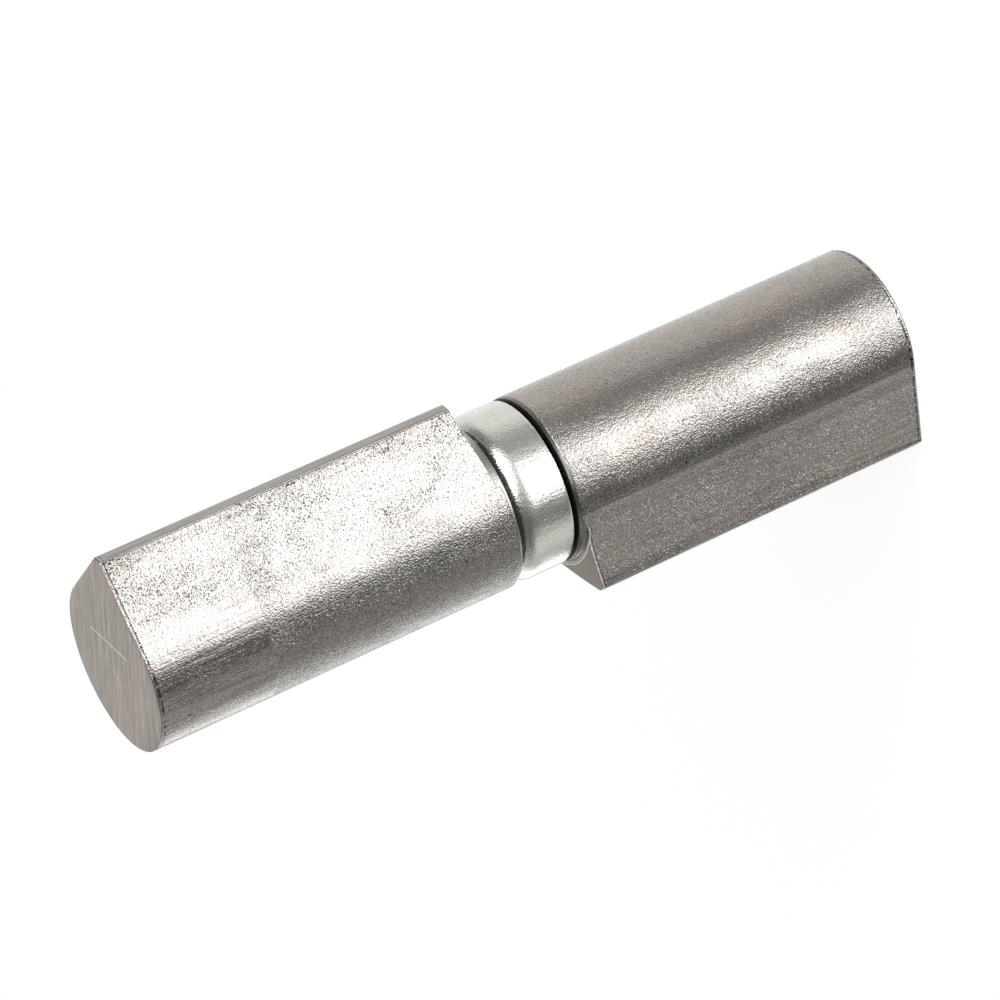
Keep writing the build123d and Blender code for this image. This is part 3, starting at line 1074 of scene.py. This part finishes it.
class HINGE_OT_upper_leaf(bpy.types.Operator):
    """Upper leaf, sawn end uppermost, nose turned to its resting angle"""

    bl_idname = "hinge.upper_leaf"
    bl_label = "Upper leaf"

    def execute(self, context):
        h = context.scene.hinge
        low, high = UPPER_BOX[0].z, UPPER_BOX[1].z
        size = high - low
        bore_radius = PIN_BOX[1].x + h.upper.running_gap
        head = PIN_BOX[1].z + h.upper.head_room
        end = turned_sizes(size, h.upper)
        mouth = [(bore_radius + h.upper.mouth, size), (bore_radius, size - h.upper.mouth)]
        bore = [*mouth, *drilled(bore_radius, high - head)]
        rows = leaf_rows(h.leaf, end, bore, h.studio.seed + 20)
        rows = placed(rows, h.upper.turn, high, -1.0)
        piece = skin("upper_leaf_steel", rows, flip=True)
        steel = LeafSteel(
            "upper_leaf_steel",
            h,
            end,
            turn=h.upper.turn,
            sawn=high / MM,
            upward=-1.0,
            seed=4,
            jaw_mark=11.6,
            scale=1.0,
            tarnish=0.3,
        )
        dress(piece, steel.made(), "lifting_leaf", "bare_steel", "upper_leaf")
        return {"FINISHED"}


class HINGE_OT_pin(bpy.types.Operator):
    """Ground pin with a long lead"""

    bl_idname = "hinge.pin"
    bl_label = "Pin"

    def execute(self, context):
        h = context.scene.hinge
        r, low, high = PIN_BOX[1].x, PIN_BOX[0].z, PIN_BOX[1].z
        lead, foot = h.bearing.pin_lead, h.bearing.pin_foot
        rounding, edge = h.bearing.pin_round, h.bearing.pin_edge
        profile = [(0, low), (r - foot, low), (r, low + foot)]
        profile += line((r, low + foot), (r, high - lead), 24)
        profile += bend((r - rounding, high - lead), rounding, 0, 45, 4)[1:]
        profile += [(r - lead + edge, high - edge), (r - lead, high), (0.5 * r, high), (0, high)]
        piece = skin("hinge_pin_steel", turned(profile, 128))
        steel = ground_steel("pin_steel", h.metals.pin, rough=0.20, ring_scale=9.0)
        dress(piece, steel, "fixed_leaf", "pin_steel", "hinge_pin")
        return {"FINISHED"}


class HINGE_OT_cup(bpy.types.Operator):
    """Drawn cup over the bearing, closed toward the upper leaf"""

    bl_idname = "hinge.cup"
    bl_label = "Bearing cup"

    def execute(self, context):
        h = context.scene.hinge
        b = h.bearing
        low, high, r = SHROUD_BOX[0].z, SHROUD_BOX[1].z, SHROUD_BOX[1].x
        hole = PIN_BOX[1].x + b.hole_gap
        inside = r - b.wall
        inner_bend = b.shoulder - b.wall
        floor = high - b.wall
        profile = [(inside + b.rim_edge, low), (r - b.rim, low)]
        profile += [(r - BREAK * b.rim, low + BREAK * b.rim), (r, low + b.rim)]
        profile += line((r, low + b.rim), (r, high - b.shoulder), 16)
        profile += bend((r - b.shoulder, high - b.shoulder), b.shoulder, 0, 90, 19)[1:]
        profile += line((r - b.shoulder, high), (hole + b.hole_edge, high), 4)
        profile += [(hole, high - b.hole_edge), (hole, floor + b.hole_edge)]
        profile += [(hole + b.hole_edge, floor)]
        profile += line((hole + b.hole_edge, floor), (inside - inner_bend, floor), 3)
        profile += bend((inside - inner_bend, floor - inner_bend), inner_bend, 90, 0, 12)[1:]
        profile += line((inside, high - b.shoulder), (inside, low + b.rim_edge), 8)
        rows = turned(profile, 224)
        piece = skin("bearing_cup", rows + rows[:1])
        dress(piece, cup_zinc(h), "turning_bearing", "zinc_plate", "bearing_shroud")
        return {"FINISHED"}


class HINGE_OT_bearing(bpy.types.Operator):
    """Metals of the races, the cage and the balls"""

    bl_idname = "hinge.bearing"
    bl_label = "Bearing parts"

    def execute(self, context):
        h = context.scene.hinge
        race = ground_steel("race_steel", h.metals.race, rough=0.18, ring_scale=14.0)
        ball = ground_steel("ball_steel", h.metals.ball, rough=0.07, ring_scale=3.0)
        metals = {"upper_race": race, "lower_race": race, "ball_cage": cage_brass(h)}
        for name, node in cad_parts.items():
            metal = ball if name.startswith("ball_0") else metals.get(name)
            if metal:
                node.data.materials.clear()
                node.data.materials.append(metal)
        return {"FINISHED"}


class HINGE_PT_panel(bpy.types.Panel):
    """Buttons for every step"""

    bl_label = "Weld-on hinge"
    bl_idname = "HINGE_PT_panel"
    bl_space_type = "VIEW_3D"
    bl_region_type = "UI"
    bl_category = "Hinge"

    def draw(self, context):
        """One button for each step."""
        for step in STEPS:
            self.layout.operator(step.bl_idname)


STEPS = (
    HINGE_OT_stage,
    HINGE_OT_lower_leaf,
    HINGE_OT_upper_leaf,
    HINGE_OT_pin,
    HINGE_OT_cup,
    HINGE_OT_bearing,
)
GROUPS = (LeafSizes, LowerSizes, UpperSizes, BearingSizes, Metals, Studio, HingeSettings)
CLASSES = GROUPS + STEPS + (HINGE_PT_panel,)


def register():
    """Makes the settings, the steps and the panel known to Blender."""
    for kind in CLASSES:
        bpy.utils.register_class(kind)
    bpy.types.Scene.hinge = PointerProperty(type=HingeSettings)


def unregister():
    """Takes them away again."""
    del bpy.types.Scene.hinge
    for kind in reversed(CLASSES):
        bpy.utils.unregister_class(kind)


def main():
    """Runs every step in order."""
    register()
    for step in STEPS:
        group, name = step.bl_idname.split(".")
        getattr(getattr(bpy.ops, group), name)()


if __name__ == "__main__":
    main()
